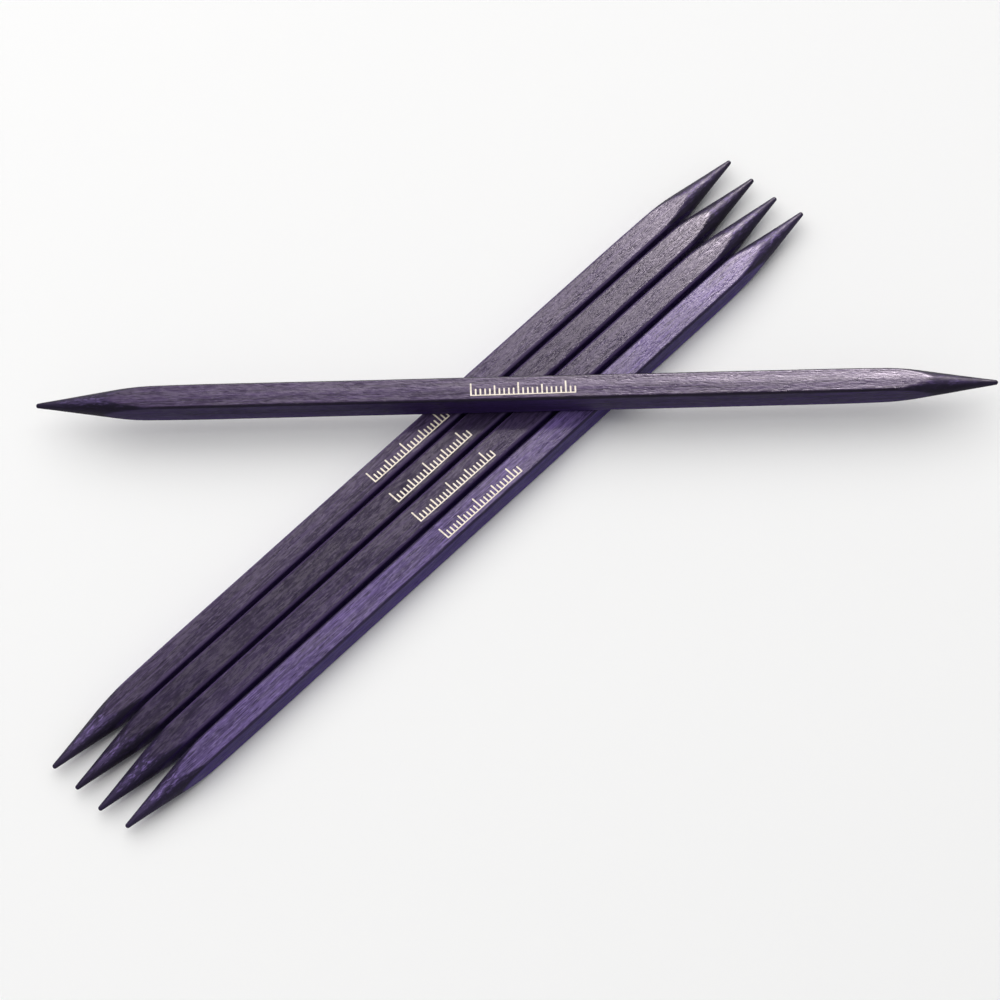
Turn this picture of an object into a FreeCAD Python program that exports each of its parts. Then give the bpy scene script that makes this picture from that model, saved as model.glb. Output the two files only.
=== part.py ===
"""Set of five double pointed knitting needles, size 8.00 mm, 8 inches long.

Each needle is one piece of dyed wood: a square bar with eased edges, whose flats are sanded down a little
towards both ends, and which is turned to a blunt round point at each end, so that the four flats run out in
curved tongues on the cone. Nothing joins the needles: four lie side by side along X as a bundle on the table,
and the fifth lies across on top of them.

The origin is the bottom centre of the whole set's bounding box, and +Z is up. Units are millimetres.
"""
import FreeCAD, Part
import os
from math import asin, cos, pi, radians, sin, sqrt, tan

import Sketcher

# Driving dimensions in millimetres and degrees: alias, value.
DIMENSIONS = [
    ("needle_length", 203.2),  # 8 inches, from point to point
    ("shaft_side", 5.95),  # across the flats
    ("edge_radius", 0.6),  # easing of the bar's four long edges
    ("relief_length", 38.0),  # from the point's end to where a flat starts to ease down
    ("relief_radius", 1125.0),  # the long arc that a flat eases down on
    ("point_radius", 0.52),  # blunt end of each point
    ("taper_half_angle", 8.7),  # of the straight cone
    ("taper_length", 17.0),  # from the point's end to where the cone starts to round over
    ("shoulder_length", 13.0),  # over which the cone rounds over into the shaft
    ("bundle_pitch", 6.75),  # between neighbouring needles of the bundle
    ("bundle_y", -0.56),  # middle of the bundle
    ("bundle_stagger", 1.16),  # the last needle lies this much further along X
    ("crossing_x", 24.2),  # middle of the needle on top
    ("crossing_turn", -44.3),  # its direction, about +Z
]
BUNDLE_COUNT = 4
FLATS = 4  # round every needle
FULL_TURN = 360
CUT_MARGIN = 2.0  # how far a cutting outline reaches past the bar
LENGTH_TOLERANCE = 0.001
QUARTER_TURN = pi / 2
START, END, CENTRE = 1, 2, 3  # a sketch's names for the points of a line or an arc
ORIGIN = (-1, 1)  # a sketch's name for its own origin
HORIZONTAL_AXIS = -1  # and for its own horizontal axis
SKETCH_NORMAL = FreeCAD.Vector(0, 0, 1)


def make_sheet(doc):
    """The spreadsheet that drives every size and place."""
    sheet = doc.addObject("Spreadsheet::Sheet", "dims")
    for row, (alias, value) in enumerate(DIMENSIONS, start=1):
        sheet.set(f"A{row}", alias)
        sheet.set(f"B{row}", str(value))
        sheet.setAlias(f"B{row}", alias)
    doc.recompute()
    return sheet


def origin_feature(body, role):
    """One of the body's own origin planes or axes, such as XY_Plane."""
    return next(feature for feature in body.Origin.OriginFeatures if feature.Role == role)


def add_sketch(body, name, plane):
    sketch = body.newObject("Sketcher::SketchObject", name)
    sketch.AttachmentSupport = [(origin_feature(body, plane), "")]
    sketch.MapMode = "FlatFace"
    return sketch


def add_rules(sketch, *rules):
    for rule in rules:
        sketch.addConstraint(Sketcher.Constraint(*rule))


def add_size(sketch, name, expression, *rule):
    """A driving dimension of the sketch, bound to the sheet."""
    index = sketch.addConstraint(Sketcher.Constraint(*rule))
    sketch.renameConstraint(index, name)
    sketch.setExpression(f"Constraints.{name}", expression)


def add_lines(sketch, corners):
    """Straight lines through the corners, end to end. Returns their numbers in the sketch."""
    lines = [
        sketch.addGeometry(Part.LineSegment(start, end), False) for start, end in zip(corners, corners[1:])
    ]
    for line, following in zip(lines, lines[1:]):
        add_rules(sketch, ("Coincident", line, END, following, START))
    return lines


def add_arc(sketch, centre, radius, first_angle, last_angle):
    circle = Part.Circle(centre, SKETCH_NORMAL, radius)
    return sketch.addGeometry(Part.ArcOfCircle(circle, first_angle, last_angle), False)


def draw_section(sketch, sheet):
    """The bar's section: a square centred on the sketch's origin."""
    side = sheet.shaft_side
    corners = [
        FreeCAD.Vector(u * side / 2, v * side / 2, 0) for u, v in ((-1, -1), (1, -1), (1, 1), (-1, 1))
    ]
    bottom, right, top, left = add_lines(sketch, corners + corners[:1])
    add_rules(
        sketch,
        ("Coincident", left, END, bottom, START),
        ("Horizontal", bottom),
        ("Vertical", right),
        ("Horizontal", top),
        ("Vertical", left),
        ("Symmetric", bottom, START, right, END, *ORIGIN),
    )
    add_size(sketch, "width", "dims.shaft_side", "DistanceX", bottom, START, bottom, END, side)
    add_size(sketch, "height", "dims.shaft_side", "DistanceY", right, START, right, END, side)


def draw_relief(sketch, sheet):
    """What sanding takes off one flat towards one end: all that lies above a long arc tangent to the flat."""
    radius = sheet.relief_radius
    flat = sheet.shaft_side / 2
    begin = sheet.needle_length / 2 - sheet.relief_length
    reach = sheet.relief_length + CUT_MARGIN
    drop = radius - sqrt(radius**2 - reach**2)
    lid_height = flat + CUT_MARGIN
    arc_centre = FreeCAD.Vector(begin, flat - radius, 0)
    arc = add_arc(sketch, arc_centre, radius, QUARTER_TURN - asin(reach / radius), QUARTER_TURN)
    back, lid, front = add_lines(
        sketch,
        [
            FreeCAD.Vector(begin, flat, 0),
            FreeCAD.Vector(begin, lid_height, 0),
            FreeCAD.Vector(begin + reach, lid_height, 0),
            FreeCAD.Vector(begin + reach, flat - drop, 0),
        ],
    )
    add_rules(
        sketch,
        ("Coincident", arc, END, back, START),
        ("Coincident", front, END, arc, START),
        ("Vertical", back),
        ("Horizontal", lid),
        ("Vertical", front),
        ("Vertical", arc, CENTRE, arc, END),
    )
    begin_rule = "dims.needle_length / 2 - dims.relief_length"
    reach_rule = f"dims.relief_length + {CUT_MARGIN}"
    add_size(sketch, "begin", begin_rule, "DistanceX", *ORIGIN, arc, END, begin)
    add_size(sketch, "reach", reach_rule, "DistanceX", lid, START, lid, END, reach)
    add_size(sketch, "flat", "dims.shaft_side / 2", "DistanceY", *ORIGIN, arc, END, flat)
    add_size(sketch, "lid_height", f"{CUT_MARGIN}", "DistanceY", back, START, back, END, CUT_MARGIN)
    add_size(sketch, "ease", "dims.relief_radius", "Radius", arc, radius)


def draw_taper(sketch, sheet):
    """What turning takes off one end: all that lies outside the point, the cone and the shoulder."""
    point_x = sheet.needle_length / 2
    ball = sheet.point_radius
    angle = radians(sheet.taper_half_angle)
    shoulder = sheet.shoulder_length / sin(angle)
    outside = sheet.shaft_side / 2 * sqrt(2) + CUT_MARGIN
    # These points are where the outline starts from; the rules and sizes below are what hold it.
    ball_centre = FreeCAD.Vector(point_x - ball, 0, 0)
    across_cone = FreeCAD.Vector(sin(angle), cos(angle), 0)
    cone_start = ball_centre + across_cone * ball
    cone_x = point_x - sheet.taper_length
    cone_end = FreeCAD.Vector(cone_x, cone_start.y + (cone_start.x - cone_x) * tan(angle), 0)
    shoulder_centre = cone_end - across_cone * shoulder
    shoulder_end = shoulder_centre + FreeCAD.Vector(0, shoulder, 0)
    tip = add_arc(sketch, ball_centre, ball, 0, QUARTER_TURN - angle)
    cone = add_lines(sketch, [cone_start, cone_end])[0]
    rounding = add_arc(sketch, shoulder_centre, shoulder, QUARTER_TURN - angle, QUARTER_TURN)
    back, lid, front, axis = add_lines(
        sketch,
        [
            shoulder_end,
            FreeCAD.Vector(shoulder_end.x, outside, 0),
            FreeCAD.Vector(point_x + CUT_MARGIN, outside, 0),
            FreeCAD.Vector(point_x + CUT_MARGIN, 0, 0),
            FreeCAD.Vector(point_x, 0, 0),
        ],
    )
    add_rules(
        sketch,
        ("Tangent", tip, END, cone, START),
        ("Tangent", cone, END, rounding, START),
        ("Coincident", rounding, END, back, START),
        ("Coincident", axis, END, tip, START),
        ("PointOnObject", tip, CENTRE, HORIZONTAL_AXIS),
        ("PointOnObject", tip, START, HORIZONTAL_AXIS),
        ("PointOnObject", front, END, HORIZONTAL_AXIS),
        ("Vertical", back),
        ("Horizontal", lid),
        ("Vertical", front),
        ("Vertical", rounding, CENTRE, rounding, END),
    )
    outside_rule = f"dims.shaft_side / 2 * sqrt(2) + {CUT_MARGIN}"
    taper_ends = (cone, END, tip, START)
    shoulder_ends = (rounding, END, cone, END)
    add_size(sketch, "point_at", "dims.needle_length / 2", "DistanceX", *ORIGIN, tip, START, point_x)
    add_size(sketch, "point_radius", "dims.point_radius", "Radius", tip, ball)
    add_size(sketch, "taper", "dims.taper_length", "DistanceX", *taper_ends, sheet.taper_length)
    add_size(sketch, "shoulder", "dims.shoulder_length", "DistanceX", *shoulder_ends, sheet.shoulder_length)
    slope = QUARTER_TURN - angle
    add_size(sketch, "slope", "90 - dims.taper_half_angle", "Angle", front, END, cone, START, slope)
    add_size(sketch, "past_point", f"{CUT_MARGIN}", "DistanceX", tip, START, front, END, CUT_MARGIN)
    add_size(sketch, "outside", outside_rule, "DistanceY", front, END, front, START, outside)


def add_bar(doc, body, sheet):
    """The square bar with its four long edges eased."""
    section = add_sketch(body, "section", "YZ_Plane")
    draw_section(section, sheet)
    bar = body.newObject("PartDesign::Pad", "bar")
    bar.Profile = section
    bar.SideType = "Symmetric"
    bar.setExpression("Length", "dims.needle_length")
    doc.recompute()
    long_edges = [
        f"Edge{number}"
        for number, edge in enumerate(bar.Shape.Edges, start=1)
        if abs(edge.Length - sheet.needle_length) < LENGTH_TOLERANCE
    ]
    eased = body.newObject("PartDesign::Fillet", "eased_edges")
    eased.Base = (bar, long_edges)
    eased.setExpression("Radius", "dims.edge_radius")
    doc.recompute()


def add_reliefs(doc, body, sheet):
    """Every flat eases down towards both ends."""
    outline = add_sketch(body, "relief_outline", "XZ_Plane")
    draw_relief(outline, sheet)
    relief = body.newObject("PartDesign::Pocket", "relief")
    relief.Profile = outline
    relief.Type = "ThroughAll"
    relief.SideType = "Symmetric"
    doc.recompute()
    both_ends = body.newObject("PartDesign::Mirrored", "relief_both_ends")
    both_ends.MirrorPlane = (origin_feature(body, "YZ_Plane"), [""])
    four_flats = body.newObject("PartDesign::PolarPattern", "relief_four_flats")
    four_flats.Axis = (origin_feature(body, "X_Axis"), [""])
    four_flats.Angle = FULL_TURN
    four_flats.Occurrences = FLATS
    everywhere = body.newObject("PartDesign::MultiTransform", "relief_everywhere")
    everywhere.Originals = [relief]
    everywhere.Transformations = [both_ends, four_flats]
    body.Tip = everywhere
    doc.recompute()


def add_points(doc, body, sheet):
    """Both ends are turned to a cone with a blunt round point."""
    outline = add_sketch(body, "taper_outline", "XZ_Plane")
    draw_taper(outline, sheet)
    taper = body.newObject("PartDesign::Groove", "taper")
    taper.Profile = outline
    taper.ReferenceAxis = (outline, ["H_Axis"])
    taper.Angle = FULL_TURN
    doc.recompute()
    both_ends = body.newObject("PartDesign::Mirrored", "taper_both_ends")
    both_ends.Originals = [taper]
    both_ends.MirrorPlane = (origin_feature(body, "YZ_Plane"), [""])
    body.Tip = both_ends
    doc.recompute()


def make_needle(doc, sheet, label):
    """One needle along its own X axis, centred on the document's origin."""
    body = doc.addObject("PartDesign::Body", label)
    body.Label = label
    add_bar(doc, body, sheet)
    add_reliefs(doc, body, sheet)
    add_points(doc, body, sheet)
    return body


def lay_in_bundle(body, place):
    """The needle's place in the bundle, where place 0 is the one furthest towards +Y."""
    steps = (BUNDLE_COUNT - 1) / 2 - place
    end_of_stagger = "" if place == BUNDLE_COUNT - 1 else "-"
    body.setExpression("Placement.Base.x", f"{end_of_stagger}dims.bundle_stagger / 2")
    body.setExpression("Placement.Base.y", f"dims.bundle_y + {steps} * dims.bundle_pitch")
    body.setExpression("Placement.Base.z", "dims.shaft_side / 2")


def lay_across(body, sheet):
    """On top of the bundle, turned about the vertical."""
    body.Placement.Rotation = FreeCAD.Rotation(FreeCAD.Vector(0, 0, 1), sheet.crossing_turn)
    body.setExpression("Placement.Rotation.Angle", "dims.crossing_turn")
    body.setExpression("Placement.Base.x", "dims.crossing_x")
    body.setExpression("Placement.Base.z", "1.5 * dims.shaft_side")


def check(doc, needles):
    """Stops if a feature failed or a needle isn't one sound solid."""
    failed = [item.Name for item in doc.Objects if {"Invalid", "Error"} & set(item.State)]
    if failed:
        raise RuntimeError(f"these objects failed to recompute: {failed}")
    for body in needles:
        shape = body.Shape
        if shape.isNull() or not shape.isValid() or len(shape.Solids) != 1 or shape.Volume <= 0:
            raise RuntimeError(f"{body.Label} isn't one valid solid")


def main():
    doc = FreeCAD.newDocument("double_pointed_needles")
    sheet = make_sheet(doc)
    needles = []
    for place in range(BUNDLE_COUNT):
        needle = make_needle(doc, sheet, f"bundle_needle_{place + 1}")
        lay_in_bundle(needle, place)
        needles.append(needle)
    crossing = make_needle(doc, sheet, "crossing_needle")
    lay_across(crossing, sheet)
    needles.append(crossing)
    doc.recompute()
    check(doc, needles)
    os.makedirs("parts", exist_ok=True)
    for needle in needles:
        needle.Shape.exportStep(f"parts/{needle.Label}.step")
        print(f"{needle.Label}: {needle.Shape.Volume:.1f} mm3 at {needle.Placement.Base}")


main()
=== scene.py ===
"""Looks of a set of five double pointed knitting needles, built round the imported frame.

Each needle is one dense mesh in its own frame, X along the needle and Z up. It replaces the CAD needle and lies
where that one does. A cream scale is printed on the top flat of each. Lengths are in metres.
"""
from math import cos, pi, radians, sin, tan

import bpy
import numpy as np
from mathutils import Matrix, Vector, noise


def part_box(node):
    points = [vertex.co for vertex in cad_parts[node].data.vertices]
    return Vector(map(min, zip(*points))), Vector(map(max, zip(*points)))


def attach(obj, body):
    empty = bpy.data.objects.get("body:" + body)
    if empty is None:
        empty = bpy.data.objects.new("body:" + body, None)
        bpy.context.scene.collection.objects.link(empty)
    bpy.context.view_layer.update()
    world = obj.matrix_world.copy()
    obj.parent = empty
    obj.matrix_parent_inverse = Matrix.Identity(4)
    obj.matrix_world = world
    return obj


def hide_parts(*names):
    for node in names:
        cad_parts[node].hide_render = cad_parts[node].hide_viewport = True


MM = 0.001

# The needle's profile, as in the CAD model. Distances along the needle are from the point's end.
EDGE_RADIUS = 0.6 * MM
RELIEF_LENGTH = 38 * MM
RELIEF_RADIUS = 1125 * MM
POINT_RADIUS = 0.52 * MM
TAPER_HALF_ANGLE = radians(8.7)
TAPER_LENGTH = 17 * MM
SHOULDER_LENGTH = 13 * MM

# How the hand finish softens that profile.
TONGUE_SOFTNESS = 0.14 * MM  # how softly a flat meets the cone
SOFTNESS_GROWS = (1 * MM, 8 * MM)  # from the point's end
CROWN = 0.07 * MM  # how much lower a flat's sides are than its middle
WAVE_DEPTH = 0.035 * MM  # of the slight waves that sanding leaves
WAVE_LENGTH = Vector((14, 3.2, 3.2)) * MM
WAVES_START = (14 * MM, 24 * MM)  # from the needle's middle: there are none under the print
WAVES_END = (98 * MM, 101 * MM)
CONE_TILT = 0.035  # how far a cone may lean to one side, as a share of its radius
CONE_TILT_START = 4 * MM  # from the point's end
POINT_DARKENS = (91 * MM, 101.5 * MM)  # from the needle's middle: the points take more dye
TURNED_MARGIN = (-0.06 * MM, 0.20 * MM)  # how far the bar is outside the cone where the turned look sets in
PAINTED_EDGE_ANGLES = (radians(37.5), radians(43))  # from a flat's middle, where the painted light and shade of the long edges sets in

# How closely the meshes are divided.
CONE_STEP = 0.5 * MM
TONGUE_STEP = 0.2 * MM
SHAFT_STEP = 1.5 * MM
TONGUES_START = 11 * MM  # from the point's end
TONGUES_END = 34 * MM
BALL_RINGS = 8
POINTS_ACROSS_FLAT = 25
POINTS_ROUND_EDGE = 9
ARC_POINTS = 9

# The dye takes a little differently on every needle: colours of the flats and of the turned cones. Then come
# factors for the painted light and shade of the long edges and of the flanks next to the flats.
DYES = {
    "bundle_needle_1": ((0.046, 0.031, 0.072), (0.074, 0.050, 0.132), 2.0, 1.8),
    "bundle_needle_2": ((0.024, 0.015, 0.041), (0.056, 0.036, 0.104), 2.6, 2.6),
    "bundle_needle_3": ((0.032, 0.020, 0.056), (0.070, 0.046, 0.138), 2.2, 2.2),
    "bundle_needle_4": ((0.090, 0.060, 0.174), (0.076, 0.050, 0.146), 0.20, 0.9),
    "crossing_needle": ((0.056, 0.036, 0.086), (0.048, 0.031, 0.090), 0.15, 0.9),
}

# The printed scale.
SCALE_START = -9.9 * MM
SCALE_STEPS = 22
SCALE_BASE = -1.75 * MM
BASE_LINE_WIDTH = 0.24 * MM
TICK_WIDTH = 0.34 * MM
TICK_HEIGHTS = {10: 3.0 * MM, 5: 2.4 * MM, 1: 1.7 * MM}
INK_HEIGHT = 0.012 * MM
INK_DEPTH = 0.08 * MM
SCALE_SKEW = radians(0.5)  # a print is this much off straight, to one side or the other, or straight
INK_COLOUR = (0.86, 0.78, 0.63)
THIN_INK_COLOUR = (0.50, 0.42, 0.38)

# The rest of the colours.
GREYED_DYE = (0.052, 0.038, 0.070)  # where the dye is blotchy
FLANK_SHARES = (0.43, 0.31, 0.72)  # of a flat's red, green and blue that a flank's painted shade has, before each needle's flank factor
FLOOR_COLOUR = (0.95, 0.95, 0.95)
SKY_COLOUR = (0.97, 0.98, 1.0)
SKY_STRENGTH = 0.38

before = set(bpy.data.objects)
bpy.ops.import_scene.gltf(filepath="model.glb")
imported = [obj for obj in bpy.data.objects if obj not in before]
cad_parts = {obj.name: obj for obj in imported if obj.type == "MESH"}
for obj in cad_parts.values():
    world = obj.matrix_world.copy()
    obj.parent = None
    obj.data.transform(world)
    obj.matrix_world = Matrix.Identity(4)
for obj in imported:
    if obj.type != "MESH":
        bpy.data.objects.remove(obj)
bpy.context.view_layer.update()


# Profile


def cone_radius(d):
    """Radius of the turned end at distance d: a ball, a cone, a shoulder, then past the bar's corners."""
    angle = TAPER_HALF_ANGLE
    ball_end = POINT_RADIUS * (1 - sin(angle))
    shoulder = SHOULDER_LENGTH / sin(angle)
    shoulder_end = TAPER_LENGTH + SHOULDER_LENGTH
    cone_top = POINT_RADIUS * cos(angle) + (TAPER_LENGTH - ball_end) * tan(angle)
    ball = np.sqrt(np.maximum(POINT_RADIUS**2 - (POINT_RADIUS - d) ** 2, 0))
    cone = POINT_RADIUS * cos(angle) + (d - ball_end) * tan(angle)
    before_end = np.clip(shoulder_end - d, 0, SHOULDER_LENGTH)
    rounding = cone_top - shoulder * cos(angle) + np.sqrt(shoulder**2 - before_end**2)
    past = np.maximum(d - shoulder_end, 0)
    rounding = rounding + past**2 / (2 * shoulder)
    return np.where(d < ball_end, ball, np.where(d < TAPER_LENGTH, cone, rounding))


def flat_height(d, side):
    """Distance of each flat from the needle's axis."""
    into_relief = np.maximum(RELIEF_LENGTH - d, 0)
    return side / 2 - (RELIEF_RADIUS - np.sqrt(RELIEF_RADIUS**2 - into_relief**2))


def folded(theta):
    """Angle from the nearest flat's middle, 0 to 45 degrees."""
    return np.abs((theta + pi / 4) % (pi / 2) - pi / 4)


def bar_radius(theta, height):
    """Distance from the axis to the surface of a square bar with rounded edges, in direction theta."""
    phi = folded(theta)
    inner = height - EDGE_RADIUS
    under_root = np.maximum(EDGE_RADIUS**2 - (inner * (np.cos(phi) - np.sin(phi))) ** 2, 0)
    corner = inner * (np.cos(phi) + np.sin(phi)) + np.sqrt(under_root)
    sharp = np.where(np.tan(phi) * height > inner, corner, height / np.cos(phi))
    return sharp - CROWN * np.sin(2 * phi) ** 2


def soft_minimum(a, b, softness):
    share = np.clip(0.5 + 0.5 * (b - a) / softness, 0, 1)
    return b + (a - b) * share - softness * share * (1 - share)


def smooth_step(value, low, high):
    t = np.clip((value - low) / (high - low), 0, 1)
    return t * t * (3 - 2 * t)


# Needle meshes


def ring_distances(half_length):
    """Where the rings are along half a needle, from the point's end: closest where the shape changes most."""
    ball = POINT_RADIUS * (1 - np.cos(np.linspace(0, pi / 2, BALL_RINGS + 1)[1:]))
    cone = np.arange(2 * CONE_STEP, TONGUES_START - CONE_STEP / 2, CONE_STEP)
    tongue = np.arange(TONGUES_START, TONGUES_END - TONGUE_STEP / 2, TONGUE_STEP)
    shaft = np.arange(TONGUES_END, half_length - SHAFT_STEP / 2, SHAFT_STEP)
    return np.concatenate([ball, cone, tongue, shaft, [half_length]])


def ring_angles(side):
    """Directions of a ring's points: evenly over the flats, and closer together round the edges."""
    inner = side / 2 - EDGE_RADIUS
    across = np.arctan2(np.linspace(-inner, inner, POINTS_ACROSS_FLAT), side / 2)
    edge_start = across[-1]
    round_edge = np.linspace(edge_start, pi / 2 - edge_start, POINTS_ROUND_EDGE + 2)[1:-1]
    quarter = np.concatenate([across, round_edge])
    return np.concatenate([quarter + turn * pi / 2 for turn in range(4)])


def sanding_waves(points, seed):
    """How far the surface dips at each point, 0 to 1."""
    offset = Vector((seed * 7.3, seed * 3.1, seed * 5.7))
    dips = []
    for point in points:
        place = Vector(c / w for c, w in zip(point, WAVE_LENGTH)) + offset
        dips.append(0.5 + 0.5 * max(-1.0, min(1.0, noise.noise(place))))
    return np.array(dips)


def needle_mesh(name, length, side, seed):
    """One needle along X, with attributes that mark its turned ends, long edges, flanks and points."""
    random = np.random.default_rng(seed)
    from_end = ring_distances(length / 2)
    theta = ring_angles(side)
    height = flat_height(from_end, side)[:, None]
    bar = bar_radius(theta[None, :], height)
    stations, radii, turned = [], [], []
    for end in (-1, 1):
        lean = random.uniform(0.3, 1.0) * CONE_TILT
        lean_to = random.uniform(0, 2 * pi)
        grows = smooth_step(from_end, CONE_TILT_START, TAPER_LENGTH)[:, None]
        cone = cone_radius(from_end)[:, None] * (1 + grows * lean * np.cos(theta - lean_to))
        softness = TONGUE_SOFTNESS * smooth_step(from_end, *SOFTNESS_GROWS)[:, None] + 1e-9
        radius = soft_minimum(bar, cone, softness)
        stations.append(end * (length / 2 - from_end))
        radii.append(radius)
        turned.append(smooth_step(bar - cone, *TURNED_MARGIN))
    x = np.concatenate([stations[0], stations[1][-2::-1]])
    radius = np.concatenate([radii[0], radii[1][-2::-1]])
    turned = np.concatenate([turned[0], turned[1][-2::-1]])
    # Where the long edges are: the material paints light there on bundle needles 1 to 3 and shade on needle 4
    # and the crossing needle.
    edge = np.broadcast_to(smooth_step(folded(theta), *PAINTED_EDGE_ANGLES), radius.shape)
    # How far a point faces sideways: the material paints shade with it on the flanks and on the cones' sides.
    sideways = np.broadcast_to(np.abs(np.cos(theta)), radius.shape)
    stations_x = np.broadcast_to(x[:, None], radius.shape)
    ring = np.stack([stations_x, radius * np.cos(theta), radius * np.sin(theta)], 2)
    clear_of_print = smooth_step(np.abs(x), *WAVES_START) * (1 - smooth_step(np.abs(x), *WAVES_END))
    dips = sanding_waves(ring.reshape(-1, 3), seed).reshape(radius.shape) * clear_of_print[:, None]
    ring[:, :, 1:] *= (1 - WAVE_DEPTH * dips / np.maximum(radius, 1 * MM))[:, :, None]
    rings, around = radius.shape
    poles = [(-length / 2, 0, 0), (length / 2, 0, 0)]
    points = np.concatenate([ring.reshape(-1, 3), poles])
    first_pole, last_pole = len(points) - 2, len(points) - 1
    faces = []
    for i in range(around):
        j = (i + 1) % around
        faces.append((first_pole, j, i))
        faces.append((last_pole, (rings - 1) * around + i, (rings - 1) * around + j))
        faces.extend((r * around + i, r * around + j, (r + 1) * around + j, (r + 1) * around + i)
                     for r in range(rings - 1))
    mesh = bpy.data.meshes.new(name)
    mesh.from_pydata(points.tolist(), [], faces)
    mesh.polygons.foreach_set("use_smooth", [True] * len(mesh.polygons))
    near_point = np.broadcast_to(smooth_step(np.abs(x), *POINT_DARKENS)[:, None], radius.shape)
    marks = {"turned": turned, "edge": edge, "sideways": sideways, "near_point": near_point}
    for attribute, values in marks.items():
        layer = mesh.attributes.new(attribute, "FLOAT", "POINT")
        layer.data.foreach_set("value", np.append(values.ravel(), [1.0, 1.0]).astype(np.float32))
    mesh.validate()
    mesh.update()
    return mesh


def needle_place(node):
    """(matrix, length, side) of a CAD needle, with its direction taken from its farthest point."""
    low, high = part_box(node)
    middle = (low + high) / 2
    farthest = max(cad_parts[node].data.vertices, key=lambda v: (v.co - middle).length).co - middle
    if farthest.x < 0:
        farthest = -farthest
    along = Vector((farthest.x, farthest.y, 0)).normalized()
    turn = Matrix((along, Vector((-along.y, along.x, 0)), Vector((0, 0, 1)))).transposed().to_4x4()
    return Matrix.Translation(middle) @ turn, 2 * farthest.length, high.z - low.z


# Printed scale


def arc(x, y, radius, start, end):
    """Points round a centre from one angle to another."""
    angles = np.linspace(start, end, ARC_POINTS)
    return [(x + radius * cos(angle), y + radius * sin(angle)) for angle in angles]


def scale_outline():
    """Outline of a base line with a millimetre tick at every step, taller at every fifth and tenth."""
    half_tick, half_line = TICK_WIDTH / 2, BASE_LINE_WIDTH / 2
    line_top = SCALE_BASE + BASE_LINE_WIDTH
    last = SCALE_START + SCALE_STEPS * MM
    outline = arc(SCALE_START - half_tick + half_line, SCALE_BASE + half_line, half_line, pi, 3 * pi / 2)
    outline += arc(last + half_tick - half_line, SCALE_BASE + half_line, half_line, 3 * pi / 2, 2 * pi)
    for step in range(SCALE_STEPS, -1, -1):
        x = SCALE_START + step * MM
        top = SCALE_BASE + next(TICK_HEIGHTS[unit] for unit in TICK_HEIGHTS if step % unit == 0)
        if step < SCALE_STEPS:
            outline.append((x + half_tick, line_top))
        outline += arc(x, top - half_tick, half_tick, 0, pi)
        if step > 0:
            outline.append((x - half_tick, line_top))
    return outline


def scale_mesh(name, top):
    """The scale as one thin plate of ink on the flat at height top."""
    outline = scale_outline()
    count = len(outline)
    points = [(x, y, top + INK_HEIGHT) for x, y in outline] + [(x, y, top - INK_DEPTH) for x, y in outline]
    faces = [tuple(range(count)), tuple(range(2 * count - 1, count - 1, -1))]
    for i in range(count):
        j = (i + 1) % count
        faces.append((i, count + i, count + j, j))
    mesh = bpy.data.meshes.new(name)
    mesh.from_pydata(points, [], faces)
    mesh.validate()
    mesh.update()
    return mesh


# Materials


class Nodes:
    """A small helper that adds nodes to one material's tree."""

    def __init__(self, material):
        material.use_nodes = True
        self.tree = material.node_tree
        self.tree.nodes.clear()

    def add(self, kind, inputs=None, **settings):
        node = self.tree.nodes.new(kind)
        for name, value in settings.items():
            setattr(node, name, value)
        for name, value in (inputs or {}).items():
            if isinstance(value, bpy.types.NodeSocket):
                self.tree.links.new(value, node.inputs[name])
            else:
                node.inputs[name].default_value = value
        return node

    def noise(self, coordinates, size, seed, detail=2.0, roughness=0.5):
        """Noise whose features have about this size along X, Y and Z."""
        place = self.add("ShaderNodeMapping", {
            "Vector": coordinates,
            "Location": (seed * 3.7, seed * 1.9, seed * 5.3),
            "Scale": tuple(1 / s for s in size),
        })
        return self.add("ShaderNodeTexNoise", {
            "Vector": place.outputs["Vector"], "Scale": 1.0, "Detail": detail, "Roughness": roughness,
        }).outputs["Fac"]

    def ramp(self, value, low, high, to_low=0.0, to_high=1.0):
        return self.add("ShaderNodeMapRange", {
            "Value": value, "From Min": low, "From Max": high, "To Min": to_low, "To Max": to_high,
        }, interpolation_type="SMOOTHSTEP").outputs["Result"]

    def math(self, operation, a, b):
        return self.add("ShaderNodeMath", {0: a, 1: b}, operation=operation).outputs["Value"]

    def mix(self, share, a, b):
        """Colour a where share is 0, b where it is 1. The numbers are a Mix node's sockets for colours."""
        return self.add("ShaderNodeMix", {0: share, 6: a, 7: b}, data_type="RGBA").outputs[2]

    def attribute(self, name, output="Fac"):
        return self.add("ShaderNodeAttribute", attribute_name=name).outputs[output]


def rgb(colour, factor=1.0):
    return tuple(min(1.0, c * factor) for c in colour) + (1.0,)


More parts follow.
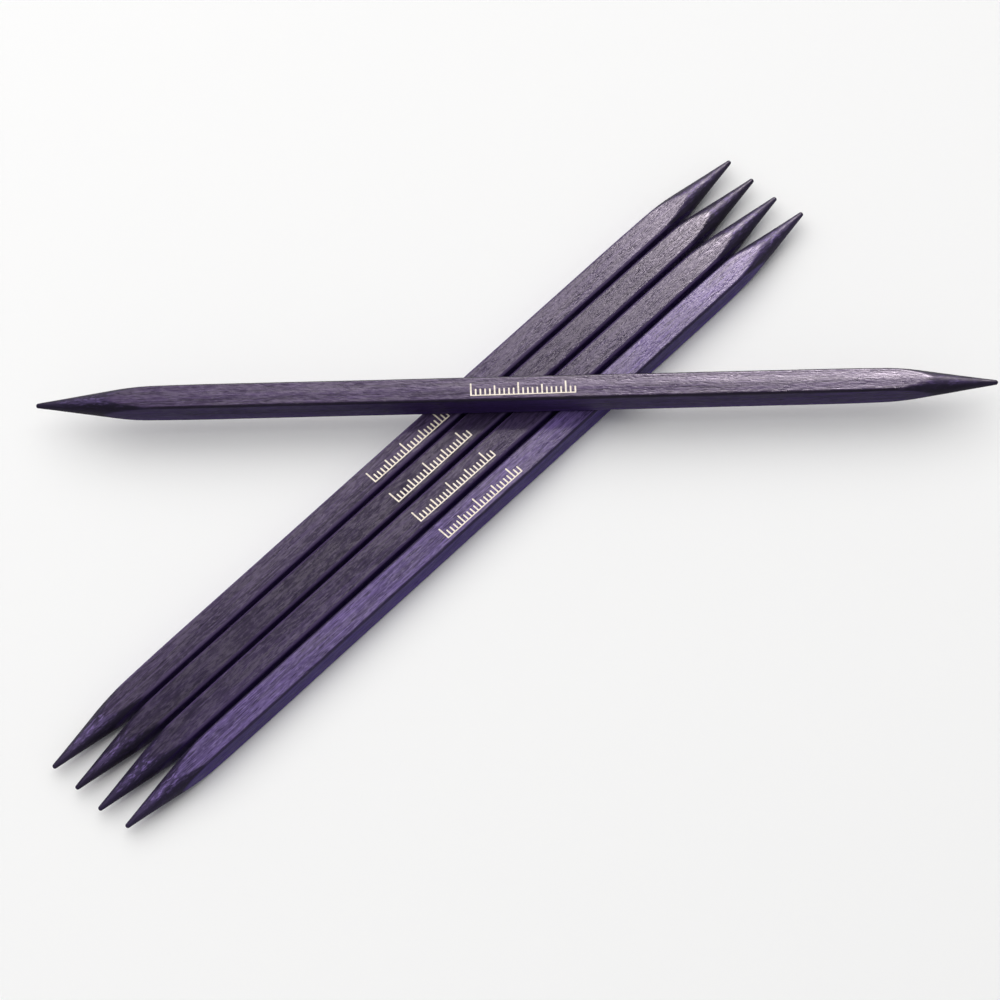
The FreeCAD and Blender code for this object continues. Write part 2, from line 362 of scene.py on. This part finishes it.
def dyed_wood(name, flat_dye, cone_dye, painted_edge_shading, painted_flank_shading, seed):
    """Purple-dyed birch under thin lacquer: long streaks, fine fibres, short dark pores and pale flecks, with
    painted light and shade on the long edges, the flanks and the cones' sides.
    """
    material = bpy.data.materials.new(name)
    n = Nodes(material)
    place = n.attribute("own_place", "Vector")
    streaks = n.noise(place, (45 * MM, 1.3 * MM, 1.3 * MM), seed, 3.0, 0.6)
    fibres = n.noise(place, (12 * MM, 0.32 * MM, 0.32 * MM), seed + 1, 2.0, 0.55)
    pores = n.noise(place, (2.6 * MM, 0.2 * MM, 0.2 * MM), seed + 2, 1.0)
    flecks = n.noise(place, (1.7 * MM, 0.42 * MM, 0.42 * MM), seed + 3, 2.0)
    grit = n.noise(place, (0.9 * MM, 0.40 * MM, 0.40 * MM), seed + 5, 1.0)
    blotches = n.noise(place, (9 * MM, 2.4 * MM, 2.4 * MM), seed + 4, 3.0, 0.6)
    is_turned = n.attribute("turned")
    painted_edge_mask = n.attribute("edge")
    sideways = n.attribute("sideways")
    is_flank = n.ramp(sideways, 0.66, 0.76)
    height = n.add("ShaderNodeSeparateXYZ", {"Vector": place}).outputs["Z"]

    streak_share = n.ramp(streaks, 0.34, 0.68)
    flat = n.mix(streak_share, rgb(flat_dye, 0.66), rgb(flat_dye, 1.34))
    flat = n.mix(n.ramp(fibres, 0.44, 0.70, 0.0, 0.70), flat, rgb(flat_dye, 2.0))
    flat = n.mix(n.ramp(flecks, 0.52, 0.72, 0.0, 0.36), flat, rgb(flat_dye, 2.2))
    flat = n.mix(n.ramp(flecks, 0.46, 0.30, 0.0, 0.35), flat, rgb(flat_dye, 0.40))
    flat = n.mix(n.ramp(blotches, 0.42, 0.72, 0.0, 0.26), flat, rgb(GREYED_DYE))
    # The flanks get a colour of their own that is painted shade, which each needle's factor raises to painted
    # light on bundle needles 1 to 3.
    painted_flank_colour = tuple(c * share * painted_flank_shading for c, share in zip(flat_dye, FLANK_SHARES))
    flank = n.mix(streak_share, rgb(painted_flank_colour, 0.75), rgb(painted_flank_colour, 1.25))
    flank = n.mix(n.ramp(fibres, 0.44, 0.74, 0.0, 0.6), flank, rgb(painted_flank_colour, 2.0))
    # Painted reflection of the floor: the lower part of a flank is lighter.
    flank = n.mix(n.ramp(height, -0.9 * MM, -2.6 * MM, 0.0, 0.55), flank, rgb(painted_flank_colour, 2.6))
    cone = n.mix(streak_share, rgb(cone_dye, 0.45), rgb(cone_dye, 1.30))
    cone = n.mix(n.ramp(blotches, 0.50, 0.34, 0.0, 0.60), cone, rgb(cone_dye, 0.25))
    cone = n.mix(n.ramp(flecks, 0.50, 0.68, 0.0, 0.72), cone, rgb(cone_dye, 3.0))
    # Painted shade on the turned cones: darker towards their two sides, lighter along top and underside.
    cone = n.mix(n.ramp(sideways, 0.10, 0.75, 0.0, 0.90), cone, rgb(cone_dye, 0.15))
    cone = n.mix(n.attribute("near_point"), cone, rgb(cone_dye, 0.35))
    colour = n.mix(is_turned, n.mix(is_flank, flat, flank), cone)
    colour = n.mix(n.ramp(pores, 0.58, 0.68, 0.0, 0.66), colour, rgb(cone_dye, 0.20))
    # Painted light and shade along the long edges, not on the turned cones: lighter on bundle needles 1 to 3,
    # darker on needle 4 and the crossing needle.
    painted_edge_share = n.math("MULTIPLY", painted_edge_mask, n.ramp(is_turned, 0.0, 0.8, 0.88, 0.0))
    colour = n.mix(painted_edge_share, colour, rgb(flat_dye, painted_edge_shading))

    gloss = n.math("ADD", n.ramp(blotches, 0.34, 0.70, 0.21, 0.31), n.ramp(flecks, 0.35, 0.70, -0.04, 0.08))
    gloss = n.math("ADD", gloss, n.math("MULTIPLY", is_turned, 0.13))
    roughness = n.math("ADD", gloss, n.math("MULTIPLY", is_flank, 0.30))

    grain = n.math("ADD", n.math("MULTIPLY", fibres, 0.5), n.math("MULTIPLY", flecks, 0.65))
    grain = n.math("ADD", grain, n.math("MULTIPLY", grit, 0.85))
    grain = n.math("SUBTRACT", grain, n.ramp(pores, 0.58, 0.68, 0.0, 0.45))
    cut = n.math("MULTIPLY", n.math("MULTIPLY", flecks, is_turned), 1.4)
    bump = n.add("ShaderNodeBump", {
        "Height": n.math("ADD", grain, cut), "Strength": 0.60, "Distance": 0.05 * MM,
    }).outputs["Normal"]
    shader = n.add("ShaderNodeBsdfPrincipled", {
        "Base Color": colour, "Roughness": roughness, "Normal": bump, "Specular IOR Level": 0.2,
    })
    n.add("ShaderNodeOutputMaterial", {"Surface": shader.outputs["BSDF"]})
    return material


def scale_ink(name):
    """Cream ink that has taken a little unevenly."""
    material = bpy.data.materials.new(name)
    n = Nodes(material)
    place = n.attribute("own_place", "Vector")
    thin = n.noise(place, (0.6 * MM, 0.5 * MM, 0.5 * MM), 2, 3.0, 0.6)
    colour = n.mix(n.ramp(thin, 0.42, 0.70, 0.0, 0.45), rgb(INK_COLOUR), rgb(THIN_INK_COLOUR))
    shader = n.add("ShaderNodeBsdfPrincipled", {
        "Base Color": colour, "Roughness": n.ramp(thin, 0.3, 0.7, 0.50, 0.62),
    })
    n.add("ShaderNodeOutputMaterial", {"Surface": shader.outputs["BSDF"]})
    return material


# Scene


def add_object(name, mesh, matrix, material):
    """The piece with its mesh moved to its place. Its material keeps the mesh's own coordinates."""
    own = np.zeros(len(mesh.vertices) * 3, np.float32)
    mesh.vertices.foreach_get("co", own)
    mesh.attributes.new("own_place", "FLOAT_VECTOR", "POINT").data.foreach_set("vector", own)
    mesh.transform(matrix)
    mesh.materials.append(material)
    piece = bpy.data.objects.new(name, mesh)
    bpy.context.scene.collection.objects.link(piece)
    return piece


def make_needles():
    ink = scale_ink("scale_ink")
    for seed, (node, dye) in enumerate(DYES.items(), start=1):
        matrix, length, side = needle_place(node)
        wood = dyed_wood(f"{node}_wood", *dye, seed)
        needle = add_object(f"{node}_wood", needle_mesh(node, length, side, seed), matrix, wood)
        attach(needle, node)
        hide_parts(node)
        skew = Matrix.Rotation(SCALE_SKEW * (seed % 3 - 1), 4, "Z")
        scale = add_object(f"{node}_scale", scale_mesh(f"{node}_scale", side / 2), matrix @ skew, ink)
        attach(scale, node)


def make_floor():
    half = 6.0
    corners = [(-half, -half, 0), (half, -half, 0), (half, half, 0), (-half, half, 0)]
    mesh = bpy.data.meshes.new("floor")
    mesh.from_pydata(corners, [], [(0, 1, 2, 3)])
    material = bpy.data.materials.new("floor")
    n = Nodes(material)
    shader = n.add("ShaderNodeBsdfPrincipled", {
        "Base Color": rgb(FLOOR_COLOUR), "Roughness": 0.9, "Specular IOR Level": 0.1,
    })
    n.add("ShaderNodeOutputMaterial", {"Surface": shader.outputs["BSDF"]})
    add_object("floor", mesh, Matrix.Identity(4), material)


def aim(thing, position, target):
    thing.location = position
    thing.rotation_euler = (Vector(target) - Vector(position)).to_track_quat("-Z", "Y").to_euler()


def add_softbox(name, position, size, radiance, colour, diffuse, glossy):
    """A square area light of this radiance, aimed at the needles, that lights what the last two say."""
    light = bpy.data.lights.new(name, "AREA")
    light.size = size
    light.energy = radiance * pi * size**2
    light.color = colour
    box = bpy.data.objects.new(name, light)
    box.visible_camera = False
    box.visible_diffuse = diffuse
    box.visible_glossy = glossy
    bpy.context.scene.collection.objects.link(box)
    aim(box, position, (0, 0, 0))


def make_lights():
    world = bpy.data.worlds.new("studio")
    world.use_nodes = True
    background = world.node_tree.nodes["Background"]
    background.inputs["Color"].default_value = rgb(SKY_COLOUR)
    background.inputs["Strength"].default_value = SKY_STRENGTH
    bpy.context.scene.world = world
    add_softbox("top_light", (0.10, 0.55, 1.20), 2.0, 1.62, (1.0, 0.99, 0.97), True, False)
    add_softbox("sheen_light", (0.88, 0.42, 1.04), 0.44, 63.0, (1.0, 0.88, 0.98), False, True)
    add_softbox("rim_light", (0.82, 0.72, 0.76), 0.60, 6.5, (1.0, 0.92, 1.0), False, True)


def make_camera():
    azimuth, elevation, distance = radians(-45.92), radians(61.72), 0.9864
    target = Vector((6.82, -11.62, 0)) * MM
    back = Vector((sin(azimuth) * cos(elevation), -cos(azimuth) * cos(elevation), sin(elevation)))
    data = bpy.data.cameras.new("camera")
    data.sensor_width = 36.0
    data.lens = 168.5
    data.clip_start = 0.05
    camera = bpy.data.objects.new("camera", data)
    bpy.context.scene.collection.objects.link(camera)
    aim(camera, target + back * distance, target)
    bpy.context.scene.camera = camera


make_camera()
make_needles()
make_floor()
make_lights()
bpy.context.scene.view_settings.view_transform = "Standard"
